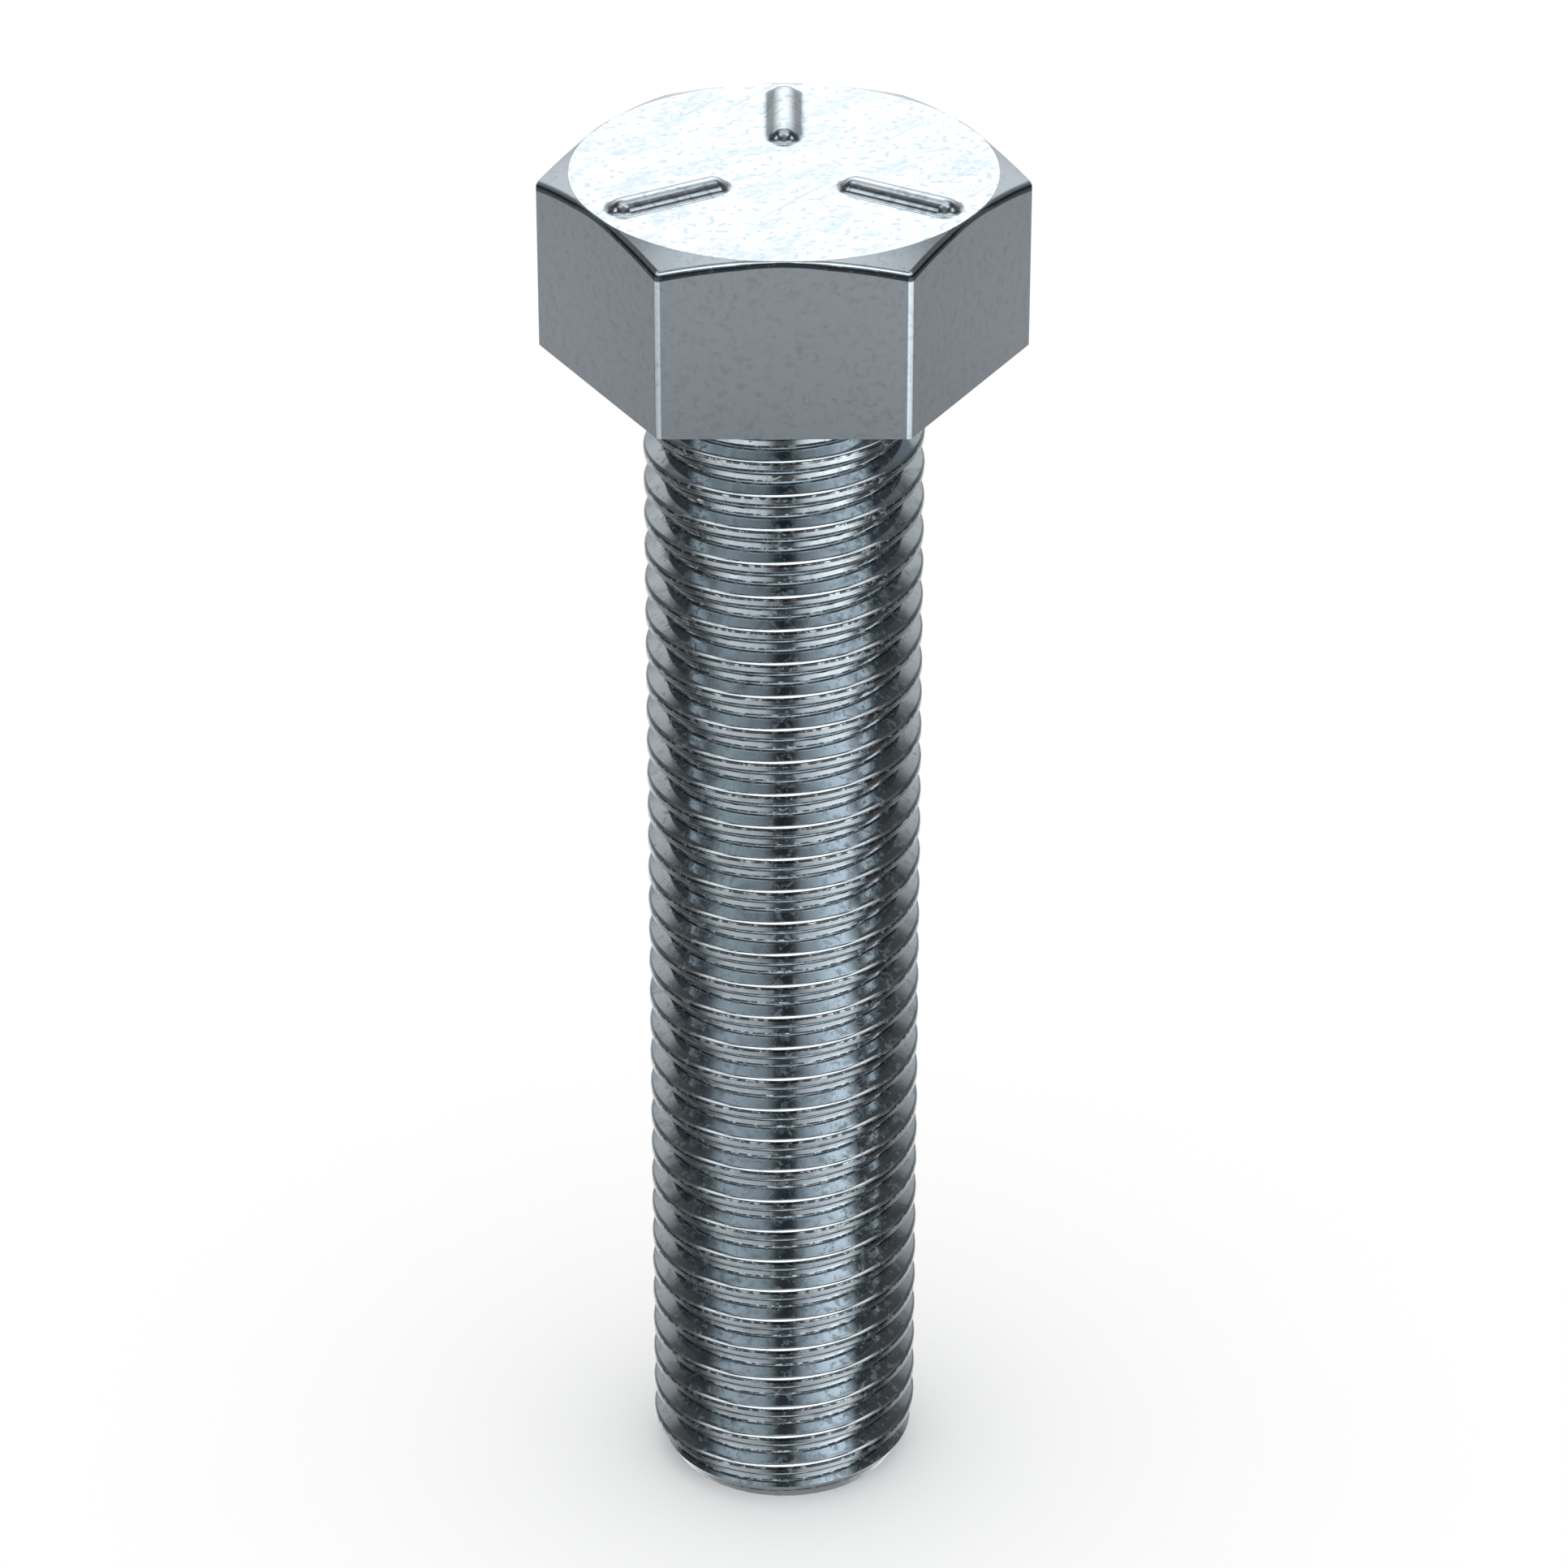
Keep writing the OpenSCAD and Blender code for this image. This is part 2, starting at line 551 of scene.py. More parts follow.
@dataclass(frozen=True)
class RolledPlate(ZincPlate):
    """Plate on the rolled thread: smoother than the head, with stained clouds, fine rolling lines on the
    crests and painted shade lines that follow the turns.
    """

    # Colour of the painted shade lines beside the crests and in the root corners, and of the fine
    # rolling lines on the crests
    shade_and_line_colour: str = "21272b"
    thread_mm: tuple[float, float] = (8.2, 9.56)
    pitch: float = 2.54
    phase: float = -2.46
    spot_mm: float = 0.5
    cloud_mm: float = 2.2
    # The lines that rolling leaves are finer, and are drawn as coarse as they need to show
    line_mm: float = 0.09
    line_smear: tuple[float, float, float] = (0.02, 0.02, 0.0)
    fleck_mm: float = 0.6
    dull_roughness: float = 0.32
    # Painted shade along the turns: a dark line under the bright round of each crest, and one in the
    # lower corner of the root
    painted_shade_lines: tuple[tuple[float, float], ...] = ((0.5, 0.0), (0.515, 0.9), (0.58, 0.9), (0.592, 0.0),
                                                (0.843, 0.0), (0.853, 0.9), (0.88, 0.9), (0.889, 0.0))

    def place_in_turn(self, tree: bpy.types.NodeTree) -> bpy.types.NodeSocket:
        """How far up a turn a point lies.

        Args:
            tree: the material's node tree.

        Returns:
            The socket of a share that is 0 and 1 at the foot of the groove and 0.5 on the crest.
        """
        parts = add_node(tree, "ShaderNodeSeparateXYZ", {0: self.millimetres(tree)}).outputs
        turn = calculate(tree, "ARCTAN2", parts["Y"], parts["X"])
        rise = calculate(tree, "MULTIPLY_ADD", parts["Z"], 1 / self.pitch, -self.phase / self.pitch)
        return calculate(tree, "FRACT", calculate(tree, "MULTIPLY_ADD", turn, -1 / FULL_TURN, rise))

    def material(self) -> bpy.types.Material:
        """Builds the material: bright flanks, fine rolling lines on the crests, and painted shade as
        dark lines beside them and in the root corners.

        Returns:
            The material, for the thread, the neck and the tip.
        """
        mat = new_material(self.name)
        tree = mat.node_tree
        place = self.millimetres(tree)
        turn = self.place_in_turn(tree)
        spots = add_noise(tree, place, self.spot_mm, 3.0, 0.3)
        flecks = add_ramp(tree, spots, [(0.38, 0.0), (0.5, 1.0)])
        # Painted shade lines, broken up by the flecks
        painted_shade_lines = add_ramp(tree, turn, self.painted_shade_lines)
        stains = add_noise(tree, place, self.cloud_mm, 5.0, 0.6)
        clouds = add_ramp(tree, stains, [(0.54, 0.0), (0.72, 0.45)])
        rise = calculate(tree, "MULTIPLY", turn, self.pitch)
        along = add_node(tree, "ShaderNodeCombineXYZ", {"X": rise})
        smear = add_node(tree, "ShaderNodeVectorMath", {0: place, 1: self.line_smear},
                         operation="MULTIPLY")
        drawn = add_node(tree, "ShaderNodeVectorMath", {0: along.outputs[0], 1: smear.outputs[0]},
                         operation="ADD")
        strokes = add_noise(tree, drawn.outputs[0], self.line_mm, 2.0)
        lines = add_ramp(tree, strokes, [(0.42, 0.4), (0.5, 0.0)])
        on_land = add_ramp(tree, turn, [(0.36, 0.0), (0.375, 1.0), (0.51, 1.0), (0.53, 0.0)])
        # The painted shade lines together with the real rolling lines on the crests
        shade_and_line_marks = calculate(tree, "MAXIMUM", calculate(tree, "MULTIPLY", painted_shade_lines, flecks),
                         calculate(tree, "MULTIPLY", lines, on_land))
        grain = add_noise(tree, place, self.grain_mm)
        roughness = self.flecked(tree, place, self.fleck_mm, self.roughness, self.dull_roughness)
        radius = self.radius(tree, place)
        outside_root = calculate(tree, "GREATER_THAN", radius, self.thread_mm[0])
        inside_neck = calculate(tree, "LESS_THAN", radius, self.thread_mm[1])
        on_thread = calculate(tree, "MULTIPLY", outside_root, inside_neck)
        shade_and_line_marks = calculate(tree, "MULTIPLY", shade_and_line_marks, on_thread)
        plate = mix_colour(tree, clouds, linear(self.colour), linear(self.dirt))
        self.finish(tree, mix_colour(tree, shade_and_line_marks, plate, linear(self.shade_and_line_colour)), roughness, grain)
        return mat


@dataclass
class Shank:
    """The rolled shank: its thread, its short neck under the head and its chamfered tip."""

    crest_r: float
    neck_r: float
    length: float
    finish: RolledPlate
    pitch: float = 2.54
    flank_angle: float = math.radians(30)
    crest_share: float = 0.25
    root_share: float = 0.27
    crest_rounds: tuple[float, float] = (0.08, 0.32)
    root_rounds: tuple[float, float] = (0.7, 0.06)
    groove_phase: float = -2.46
    neck_length: float = 2.0
    neck_fillet: float = 0.8
    runout: float = 1.693
    tip_angle: float = math.radians(30.5)
    tip_inset: float = 0.28
    tip_round: float = 0.08
    steps: int = 96
    turned_steps: int = 191
    round_segments: int = 5
    margin: float = 1.5

    @property
    def flank_width(self) -> float:
        """Height that one flank takes up along the axis."""
        return self.pitch * (1 - self.crest_share - self.root_share) / 2

    @property
    def depth(self) -> float:
        """Depth of the groove."""
        return self.flank_width / math.tan(self.flank_angle)

    @property
    def root_r(self) -> float:
        """Radius at the foot of the groove."""
        return self.crest_r - self.depth

    @property
    def tip_r(self) -> float:
        """Radius of the flat end."""
        return self.root_r - self.tip_inset

    def thread(self) -> bpy.types.Object:
        """Screws one pitch of the outline into a closed threaded rod, longer than the shank.

        Returns:
            The rod, with the groove fading out under the neck.
        """
        half_root = self.pitch * self.root_share / 2
        turns_below = math.ceil((self.length + self.groove_phase) / self.pitch) + 1
        start = self.groove_phase - turns_below * self.pitch
        heights = [0, half_root, half_root + self.flank_width, self.pitch - half_root - self.flank_width,
                   self.pitch - half_root, self.pitch]
        radii = [self.root_r, self.root_r, self.crest_r, self.crest_r, self.root_r, self.root_r]
        rod = draw_profile("thread", [(r, start + z) for r, z in zip(radii, heights)])
        turn = math.pi / 2 - self.flank_angle
        sizes = (self.root_rounds[0], *self.crest_rounds, self.root_rounds[1])
        for size, height in zip(sizes, heights[1:-1]):
            corner = start + height
            round_corners(rod, size, turn, self.round_segments, lambda v: abs(v.co.z - corner) < MERGE)
        apply_modifier(rod, "SCREW", axis="Z", angle=FULL_TURN, screw_offset=self.pitch,
                       iterations=math.ceil(-start / self.pitch), steps=self.steps,
                       render_steps=self.steps, use_merge_vertices=True, merge_threshold=MERGE)
        outward(rod)
        edit(rod, Layer.VERTEX)
        bpy.ops.mesh.select_non_manifold()
        bpy.ops.mesh.fill_holes(sides=0)
        done()
        pick(rod, Layer.FACE, lambda f: len(f.vertices) > 4)
        bpy.ops.mesh.poke()
        done()
        outward(rod)
        self.fade_groove(rod)
        return rod

    def fade_groove(self, rod: bpy.types.Object) -> None:
        """Moves the foot of the groove out to the crest where the thread runs out under the neck.

        Args:
            rod: the threaded rod.
        """
        half_groove = self.pitch * (1 - self.crest_share) / 2
        for vertex in rod.data.vertices:
            radius = vertex.co.xy.length
            if radius < self.root_r - MERGE:
                continue
            rise = self.groove_phase + math.atan2(vertex.co.y, vertex.co.x) / FULL_TURN * self.pitch
            centre = rise + round((vertex.co.z - rise) / self.pitch) * self.pitch
            share = min(1.0, max(0.0, 1 - (centre + half_groove + self.neck_length) / self.runout))
            scale = (self.crest_r - (self.crest_r - radius) * share) / radius
            vertex.co.x *= scale
            vertex.co.y *= scale

    def envelope(self) -> bpy.types.Object:
        """Turns the column that the shank may fill, with the tip's chamfer at its lower end.

        Returns:
            The closed column.
        """
        wide = self.neck_r + self.margin
        top = self.margin / 2
        chamfer_top = (wide - self.tip_r) / math.tan(self.tip_angle) - self.length
        column = draw_profile("envelope", [(0, top), (wide, top), (wide, chamfer_top),
                                           (self.tip_r, -self.length), (0, -self.length)])
        done()
        round_corners(column, self.tip_round, math.pi / 2 - self.tip_angle, 2,
                      lambda v: v.co.x > MERGE and v.co.z < MERGE - self.length)
        lathe(column, self.turned_steps)
        return column

    def neck(self) -> bpy.types.Object:
        """Turns the plain neck and the fillet that joins it to the head.

        Returns:
            The closed neck, reaching into the head.
        """
        foot = self.neck_r + self.neck_fillet
        plain = draw_profile("neck", [(0, -self.neck_length), (self.neck_r, -self.neck_length),
                                      (self.neck_r, 0), (foot, 0), (foot, self.margin),
                                      (0, self.margin)])
        done()
        round_corners(plain, self.neck_fillet * (1 - MERGE), math.pi / 2, 8,
                      lambda v: abs(v.co.x - self.neck_r) < MERGE and abs(v.co.z) < MERGE)
        lathe(plain, self.turned_steps)
        return plain

    def build(self) -> bpy.types.Object:
        """Builds the whole shank.

        Returns:
            The closed shank, reaching a little way up into the head.
        """
        shank = self.thread()
        combine(shank, self.envelope(), Join.KEEP_COMMON)
        combine(shank, self.neck(), Join.ADD)
        shank.data.materials.clear()
        shank.data.materials.append(self.finish.material())
        return shank


@dataclass
class GradeMarks:
    """The raised bars on the top of the head, pressed up as it was forged."""

    top: float
    edge_r: float
    height: float
    count: int = 3
    width: float = 2.3
    start: float = 4.3
    edge_gap: float = 1.0
    foot_fillet: float = 0.6
    first_angle: float = math.radians(90)
    arc_steps: int = 10
    steps: int = 64
    depth: float = 1.0
    step_up: float = 0.003

    def section(self) -> list[Point]:
        """Outline of half a bar: its rounded back, the fillet at its foot and a stem in the head.

        Returns:
            Distance from the bar's middle and height of each point, from the top down.
        """
        rise = self.height - self.step_up
        rod_r = ((self.width / 2) ** 2 + rise ** 2) / (2 * rise)
        rod_z = rise - rod_r
        foot_x = math.sqrt((rod_r + self.foot_fillet) ** 2 - (self.foot_fillet - rod_z) ** 2)
        lean = math.asin(foot_x / (rod_r + self.foot_fillet))
        turns = [lean * i / self.arc_steps for i in range(self.arc_steps + 1)]
        back = [(rod_r * math.sin(t), rod_z + rod_r * math.cos(t)) for t in turns]
        foot = [(foot_x - self.foot_fillet * math.sin(t), self.foot_fillet * (1 - math.cos(t)))
                for t in reversed(turns[:-1])]
        raised = [(x, self.top + self.step_up + z) for x, z in [*back, *foot]]
        return [*raised, (foot_x, self.top - self.depth), (0, self.top - self.depth)]

    def bar(self, angle: float) -> bpy.types.Object:
        """Builds one bar, turned as a round button and then pulled out along its length.

        Args:
            angle: direction in which the bar runs out from the axis.

        Returns:
            The closed bar with a stem that reaches into the head.
        """
        reach = self.edge_r - self.edge_gap - self.start - self.width
        bar = draw_profile("grade_mark", self.section())
        done()
        lathe(bar, self.steps)
        edit(bar, Layer.VERTEX)
        bpy.ops.mesh.select_all(action="SELECT")
        bpy.ops.mesh.bisect(plane_co=(0, 0, 0), plane_no=(1, 0, 0), threshold=MERGE)
        done()
        pick(bar, Layer.FACE, lambda f: f.center.x > MERGE)
        bpy.ops.mesh.extrude_region_move(TRANSFORM_OT_translate={"value": (reach, 0, 0)})
        bpy.ops.mesh.select_all(action="SELECT")
        bpy.ops.transform.translate(value=(self.start + self.width / 2, 0, 0))
        bpy.ops.transform.rotate(value=-angle, orient_axis="Z", center_override=(0, 0, 0))
        done()
        outward(bar)
        return bar

    def angles(self) -> Iterable[float]:
        """Directions of the bars."""
        return (self.first_angle + FULL_TURN * i / self.count for i in range(self.count))


@dataclass
class Head:
    """The forged hex head, its top corners rounded off by a shallow cone."""

    across_flats: float
    height: float
    marks_height: float
    finish: ForgedPlate
    edge_round: float = 0.5
    crown_angle: float = math.radians(21.5)
    crown_inset: float = 0.05
    crown_round: float = 0.34
    room_share: float = 0.9
    least_share: float = 0.1
    crown_steps: int = 360
    margin: float = 1.5
    marks: GradeMarks = field(init=False)

    def __post_init__(self) -> None:
        """Places the grade marks on the top face."""
        self.marks = GradeMarks(top=self.height, edge_r=self.crown_r, height=self.marks_height)

    @property
    def corner_r(self) -> float:
        """Distance from the axis to a sharp corner of the hexagon."""
        return self.across_flats / 2 / math.cos(math.pi / 6)

    @property
    def crown_r(self) -> float:
        """Radius of the round top face."""
        return self.across_flats / 2 - self.crown_inset

    def prism(self) -> bpy.types.Object:
        """Builds the hexagonal prism with its upright edges rounded.

        Returns:
            The closed prism.
        """
        bpy.ops.object.select_all(action="DESELECT")
        bpy.ops.mesh.primitive_circle_add(vertices=6, radius=self.corner_r, fill_type="NGON",
                                          rotation=(0, 0, math.pi / 6))
        head = bpy.context.object
        head.name = "head"
        bpy.ops.object.transform_apply(rotation=True)
        round_corners(head, self.edge_round, math.pi / 3, 5, lambda v: True)
        edit(head, Layer.FACE)
        bpy.ops.mesh.select_all(action="SELECT")
        bpy.ops.mesh.extrude_region_move(TRANSFORM_OT_translate={"value": (0, 0, self.height)})
        done()
        outward(head)
        return head

    def crown(self) -> bpy.types.Object:
        """Turns the cone that cuts the top corners away.

        Returns:
            The closed cone, which the prism is trimmed to.
        """
        wide = self.corner_r + self.margin
        slope = math.tan(self.crown_angle)
        cone = draw_profile("crown", [(0, -self.margin), (wide, -self.margin),
                                      (wide, self.height - (wide - self.crown_r) * slope),
                                      (0, self.height + self.crown_r * slope)])
        done()
        lathe(cone, self.crown_steps)
        return cone

    def soften_crown(self, head: bpy.types.Object) -> None:
        """Rounds the edges between the flats and the cone, less where the round top comes close.

        Args:
            head: the trimmed prism.
        """
        mesh = head.data
        lean: dict[tuple[int, int], list[float]] = {}
        for face in mesh.polygons:
            for key in face.edge_keys:
                lean.setdefault(key, []).append(face.normal.z)
        weights = mesh.attributes.new("bevel_weight_edge", "FLOAT", "EDGE")
        for edge in mesh.edges:
            tilts = sorted(lean[edge.key])
            middle = (mesh.vertices[edge.vertices[0]].co + mesh.vertices[edge.vertices[1]].co) / 2
            from_flat = abs(tilts[0]) < UPRIGHT
            to_cone = SLOPING < tilts[-1] < LEVEL
            if from_flat and to_cone:
                room = (middle.xy.length - self.crown_r) / math.cos(self.crown_angle)
                share = self.room_share * room / self.crown_round
                weights.data[edge.index].value = min(1.0, max(self.least_share, share))
        apply_modifier(head, "BEVEL", width=self.crown_round, segments=4, limit_method="WEIGHT",
                       offset_type="OFFSET", use_clamp_overlap=False)

    def add_marks(self, head: bpy.types.Object) -> None:
        """Joins the grade marks to the top."""
        for angle in self.marks.angles():
            combine(head, self.marks.bar(angle), Join.ADD)

    def build(self) -> bpy.types.Object:
        """Builds the whole head.

        Returns:
            The closed head with its grade marks.
        """
        head = self.prism()
        combine(head, self.crown(), Join.KEEP_COMMON)
        self.soften_crown(head)
        self.add_marks(head)
        head.data.materials.clear()
        head.data.materials.append(self.finish.material())
        return head


@dataclass
class TapBolt:
    """The whole bolt, one piece of steel."""

    head: Head
    shank: Shank
    crease: float = math.radians(20)

    def build(self) -> bpy.types.Object:
        """Joins the head to the shank, shades the mesh and hands it to the frame.

        Returns:
            The finished piece, in metres.
        """
        bolt = self.head.build()
        LOG.info("head: %d faces", len(bolt.data.polygons))
        shank = self.shank.build()
        LOG.info("shank: %d faces", len(shank.data.polygons))
        combine(bolt, shank, Join.ADD)
        bolt.name = "tap_bolt"
        bolt.data.name = "tap_bolt"
        outward(bolt)
        choose(bolt)
        bpy.ops.object.shade_smooth_by_angle(angle=self.crease)
        apply_modifier(bolt, "WEIGHTED_NORMAL", weight=100, keep_sharp=True)
        to_metres(bolt)
        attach(bolt, "root")
        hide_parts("bolt")
        return bolt


def blend(stops: Stops, place: float) -> float:
    """Reads a value between neighbouring stops with an even slope.

    Args:
        stops: place and value of each stop, in order of place.
        place: where the value is read.

    Returns:
        The value there, or that of the nearest stop outside them all.
    """
    for (a, low), (b, high) in zip(stops[:-1], stops[1:]):
        if a <= place <= b:
            return low + (high - low) * (place - a) / (b - a)
    return stops[0][1] if place < stops[0][0] else stops[-1][1]


@dataclass(frozen=True)
class Belt:
    """Brightness of the light tent all the way round at one height.

    The rise is an angle from -90 underfoot to 90 overhead. Each level belongs to a turn from the front
    towards the right.
    """

    rise: float
    levels: tuple[tuple[float, float], ...]

    def level(self, turn: float) -> float:
        """Brightness at a turn from 0 to 360 degrees."""
        first, last = self.levels[0], self.levels[-1]
        return blend([(last[0] - 360, last[1]), *self.levels, (first[0] + 360, first[1])], turn)


@dataclass
class LightTent:
    """A far tent of bright panels and dark cards, and a ring of them on the floor that lights the flats.

    Both show only in what the bolt reflects.
    """

    belts: tuple[Belt, ...]
    ring: Belt
    floor_z: float
    tent_r: float = 10000.0
    ring_r: tuple[float, float] = (192.0, 262.0)
    ring_lift: float = 0.5
    steps: int = 144
    belt_step: int = 2

    def glow(self, tent: bpy.types.Object, belts: Sequence[Belt]) -> None:
        """Writes the brightness into a mesh and gives it the material that shines.

        Args:
            tent: the tent or the ring, in millimetres.
            belts: brightness at each height, from the lowest up.
        """
        colours = tent.data.color_attributes.new("glow", "FLOAT_COLOR", "POINT")
        for vertex, colour in zip(tent.data.vertices, colours.data):
            place = vertex.co
            turn = math.degrees(math.atan2(place.x, -place.y)) % 360
            rise = math.degrees(math.atan2(place.z, place.xy.length))
            level = blend([(belt.rise, belt.level(turn)) for belt in belts], rise)
            colour.color = (level, level, level, 1.0)
        mat = new_material("glowing_panels_and_dark_cards")
        tree = mat.node_tree
        source = add_node(tree, "ShaderNodeAttribute", attribute_name="glow")
        shine = add_node(tree, "ShaderNodeEmission", {"Color": source.outputs["Color"], "Strength": 1.0})
        add_node(tree, "ShaderNodeOutputMaterial", {"Surface": shine.outputs[0]})
        mat.cycles.emission_sampling = "NONE"
        tent.data.materials.append(mat)
        tent.visible_camera = False
        tent.visible_diffuse = False
        tent.visible_transmission = False
        tent.visible_shadow = False
        to_metres(tent)

    def build(self) -> None:
        """Builds the tent and the ring."""
        rises = [math.radians(rise) for rise in range(-90, 91, self.belt_step)]
        arc = [(self.tent_r * math.cos(rise), self.tent_r * math.sin(rise)) for rise in rises]
        tent = draw_profile("light_tent", arc)
        done()
        lathe(tent, self.steps)
        self.glow(tent, self.belts)
        inner, outer = self.ring_r
        ring_z = self.floor_z + self.ring_lift
        ring = draw_profile("light_ring", [(inner, ring_z), (outer, ring_z)])
        done()
        lathe(ring, self.steps)
        self.glow(ring, [self.ring])


@dataclass
class Studio:
    """Plain pale floor under a soft even sky."""

    floor_z: float
    floor_size: float = 6.0
    floor_colour: str = "ffffff"
    sky: float = 1.05

    def build(self) -> None:
        """Builds the floor and sets the sky."""
        bpy.ops.object.select_all(action="DESELECT")
        bpy.ops.mesh.primitive_plane_add(size=self.floor_size, location=(0, 0, self.floor_z))
        floor = bpy.context.object
        floor.name = "floor"
        mat = new_material("matt_white_paper")
        tree = mat.node_tree
        shader = add_node(tree, "ShaderNodeBsdfDiffuse", {"Color": linear(self.floor_colour)})
        add_node(tree, "ShaderNodeOutputMaterial", {"Surface": shader.outputs[0]})
        floor.data.materials.append(mat)
        floor.visible_glossy = False
        world = bpy.data.worlds.new("studio_sky")
        world.use_nodes = True
        tree = world.node_tree
        tree.nodes.clear()
        light = add_node(tree, "ShaderNodeBackground", {"Color": (1, 1, 1, 1), "Strength": self.sky})
        add_node(tree, "ShaderNodeOutputWorld", {"Surface": light.outputs[0]})
        bpy.context.scene.world = world


# What the crests of the thread reflect: the low panels in front and at the back
CREST_LEVELS = ((0, 0.08), (8, 0.12), (16, 0.8), (41, 1.4), (60, 1.45), (67, 0.8), (74, 0.1),
                (98, 0.12), (112, 0.55), (130, 0.75), (142, 0.9), (180, 1.1), (216, 1.1),
                (232, 0.75), (250, 0.5), (262, 0.2), (280, 0.12), (293, 0.5), (304, 1.0),
                (323, 0.9), (342, 0.75), (352, 0.12))

# What the flanks reflect, by way of the underside of the turn above them
FLANK_LEVELS = ((0, 0.15), (8, 0.25), (18, 2.0), (40, 3.7), (55, 3.8), (63, 1.8), (70, 0.2),
                (84, 0.1), (110, 0.1), (130, 0.3), (142, 0.6), (180, 1.1), (216, 0.9), (232, 0.4),
                (250, 0.15), (276, 0.12), (288, 0.4), (297, 1.4), (310, 2.1), (330, 2.0),
                (342, 1.7), (352, 0.25))

# What the corners beside the crests reflect: dark cards nearly all the way round
LOW_LEVELS = ((0, 0.07), (50, 0.15), (90, 0.2), (120, 0.15), (150, 0.5), (180, 1.0), (210, 0.5),
              (240, 0.15), (270, 0.2), (310, 0.15))

# What the flats of the head reflect: the ring on the floor
RING = Belt(0, ((0, 0.96), (10, 0.96), (15, 2.5), (92, 2.5), (96, 0.1), (110, 0.1), (114, 0.66),
                (180, 0.66), (246, 0.66), (250, 0.1), (264, 0.1), (268, 1.6), (345, 1.6),
                (350, 0.96)))

# The whole tent, from straight down to overhead
TENT_BELTS = (
    Belt(-90, ((0, 0.45),)),
    Belt(-62, ((0, 0.2), (120, 0.3), (145, 0.5), (215, 0.5), (240, 0.3))),
    Belt(-44, CREST_LEVELS),
    Belt(-31, CREST_LEVELS),
    Belt(-22, FLANK_LEVELS),
    Belt(-16, FLANK_LEVELS),
    Belt(-12, LOW_LEVELS),
    Belt(8, LOW_LEVELS),
    Belt(20, ((0, 3.2), (40, 2.6), (70, 1.6), (84, 0.2), (130, 0.2), (145, 0.8), (159, 1.35),
              (168, 2.0), (180, 2.65), (192, 2.0), (201, 1.4), (215, 0.8), (230, 0.2), (276, 0.2),
              (290, 1.6), (320, 2.2))),
    Belt(32, ((0, 3.6), (40, 3.0), (70, 1.8), (84, 0.2), (130, 0.2), (140, 0.7), (150, 1.2),
              (168, 2.1), (180, 2.75), (192, 2.1), (210, 1.2), (220, 0.8), (230, 0.2), (276, 0.2),
              (290, 1.8), (320, 2.6))),
    Belt(42, ((0, 3.6), (40, 3.0), (50, 1.0), (56, 0.3), (62, 1.7), (84, 1.7), (92, 0.12),
              (140, 0.12), (152, 0.2), (165, 0.5), (180, 2.0), (195, 0.5), (208, 0.2), (220, 0.12),
              (268, 0.12), (276, 1.7), (298, 1.7), (304, 0.3), (310, 1.0), (320, 2.6))),
    Belt(50, ((0, 3.2), (38, 2.4), (46, 0.12), (62, 0.12), (68, 1.8), (92, 1.8), (100, 0.1),
              (126, 0.1), (146, 0.3), (165, 0.9), (180, 1.3), (195, 0.9), (214, 0.3), (234, 0.1),
              (260, 0.1), (268, 1.8), (292, 1.8), (298, 0.12), (314, 0.12), (322, 2.2))),
    Belt(54, ((0, 2.1), (24, 1.6), (30, 0.12), (66, 0.12), (72, 1.9), (94, 1.9), (102, 0.1),
              (128, 0.12), (142, 0.4), (152, 1.3), (180, 1.3), (206, 1.4), (218, 0.5), (230, 0.12),
              (258, 0.1), (266, 1.9), (288, 1.9), (294, 0.12), (330, 0.12), (338, 1.7))),
    Belt(58, ((0, 1.6), (10, 1.6), (18, 0.12), (104, 0.1), (130, 0.12), (140, 0.6), (150, 1.65),
              (180, 1.3), (210, 1.9), (220, 0.8), (230, 0.12), (256, 0.1), (342, 0.12),
              (350, 1.6))),
    Belt(64, ((0, 0.5), (28, 0.12), (112, 0.12), (130, 0.2), (140, 0.8), (152, 1.6), (180, 1.35),
              (208, 1.8), (220, 0.8), (230, 0.2), (250, 0.12), (332, 0.12))),
    Belt(69, ((0, 0.4), (60, 0.3), (92, 0.8), (100, 2.4), (118, 2.4), (128, 0.8), (152, 1.6),
              (180, 1.4), (208, 1.7), (232, 0.7), (242, 1.8), (260, 1.8), (270, 0.6), (300, 0.3))),
    Belt(78, ((0, 0.4), (60, 0.6), (90, 2.4), (112, 2.4), (130, 1.3), (150, 1.8), (180, 2.2),
              (210, 1.8), (230, 1.2), (248, 1.9), (268, 1.8), (300, 0.6))),
    Belt(90, ((0, 0.45),)),
)


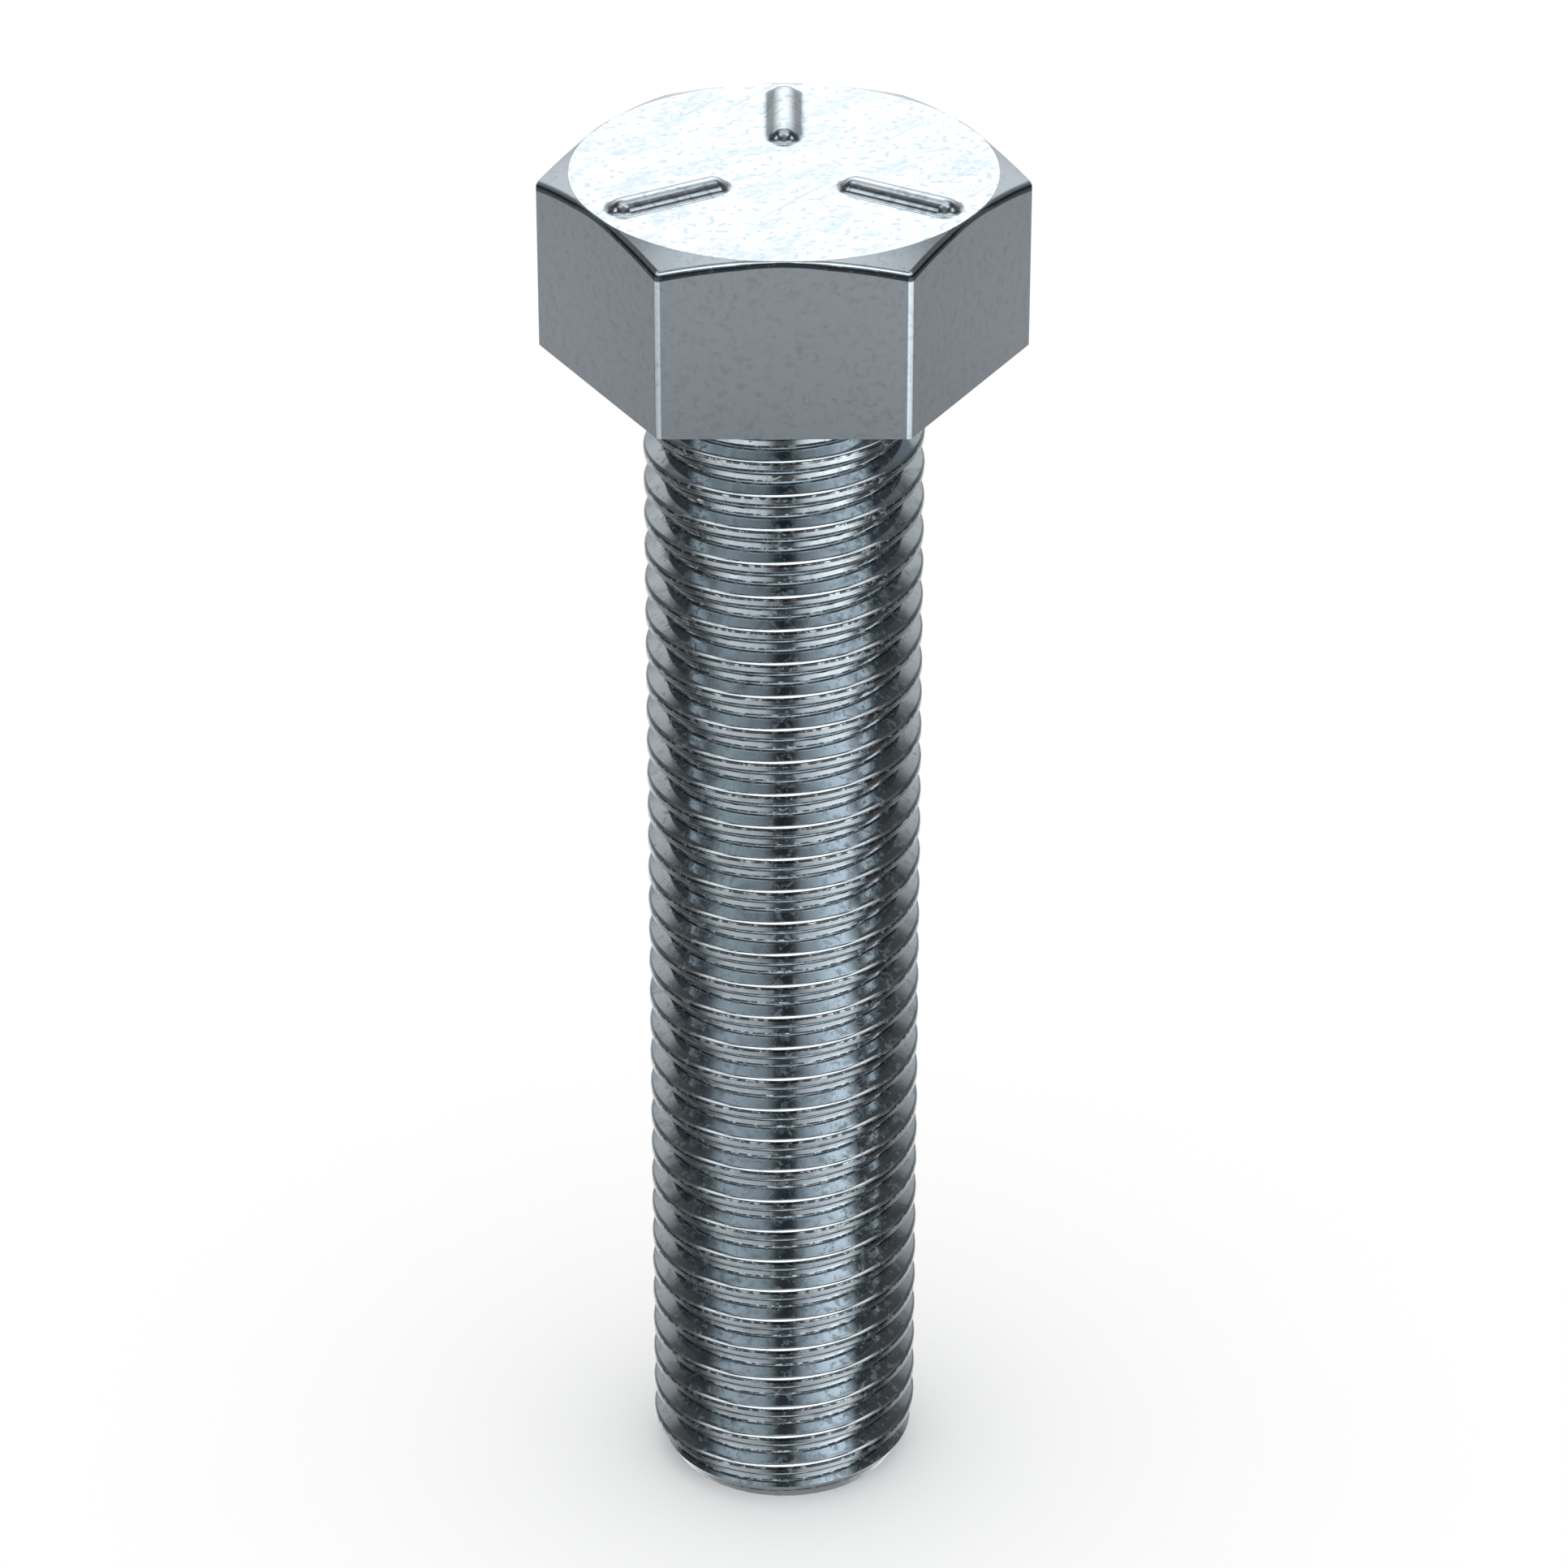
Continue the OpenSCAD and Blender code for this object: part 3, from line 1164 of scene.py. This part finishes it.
@dataclass
class StudioCamera:
    """The camera of the photograph, level and pointed down at the bolt's middle."""

    place: Vector = field(default_factory=lambda: Vector((0, -0.38999, 0.18864)))
    pitch: float = math.radians(29.719)
    lens_mm: float = 148.13
    sensor_mm: float = 36.0

    def build(self) -> bpy.types.Object:
        """Builds the camera and makes it the scene's.

        Returns:
            The camera.
        """
        data = bpy.data.cameras.new("studio_camera")
        data.lens = self.lens_mm
        data.sensor_width = self.sensor_mm
        data.clip_start = 0.01
        camera = bpy.data.objects.new("studio_camera", data)
        camera.location = self.place
        camera.rotation_euler = (math.pi / 2 - self.pitch, 0, 0)
        bpy.context.scene.collection.objects.link(camera)
        bpy.context.scene.camera = camera
        return camera


def main() -> None:
    """Builds the camera, the bolt and the studio round it, and reports the bolt."""
    logging.basicConfig(level=logging.INFO, format="%(name)s: %(message)s")
    bpy.context.scene.view_settings.view_transform = "Standard"
    StudioCamera().build()
    low, high = (tuple(v / MM for v in corner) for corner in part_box("bolt"))
    head_height = 2 * mount("hex_drive")["pos_m"][2] / MM
    across_flats = high[1] - low[1]
    forged = ForgedPlate(name="zinc_plated_forging", colour="a2abb2", dirt="6d767d", roughness=0.26,
                         grain_mm=0.16, grain_depth_mm=0.0013, top_mm=head_height,
                         crown_mm=across_flats / 2 - Head.crown_inset)
    rolled = RolledPlate(name="zinc_plated_rolled_thread", colour="a2abb1", dirt="4a5157",
                         roughness=0.09, grain_mm=0.15, grain_depth_mm=0.0006)
    head = Head(across_flats=across_flats, height=head_height, marks_height=high[2] - head_height,
                finish=forged)
    shank = Shank(crest_r=mount("thread")["dims"]["r_mm"], neck_r=mount("neck")["dims"]["r_mm"],
                  length=-low[2], finish=rolled)
    bolt = TapBolt(head, shank).build()
    triangles = sum(len(face.vertices) - 2 for face in bolt.data.polygons)
    LOG.info("%s: %d vertices, %d triangles", bolt.name, len(bolt.data.vertices), triangles)
    Studio(floor_z=low[2] * MM).build()
    LightTent(belts=TENT_BELTS, ring=RING, floor_z=low[2]).build()


if __name__ == "__main__":
    main()
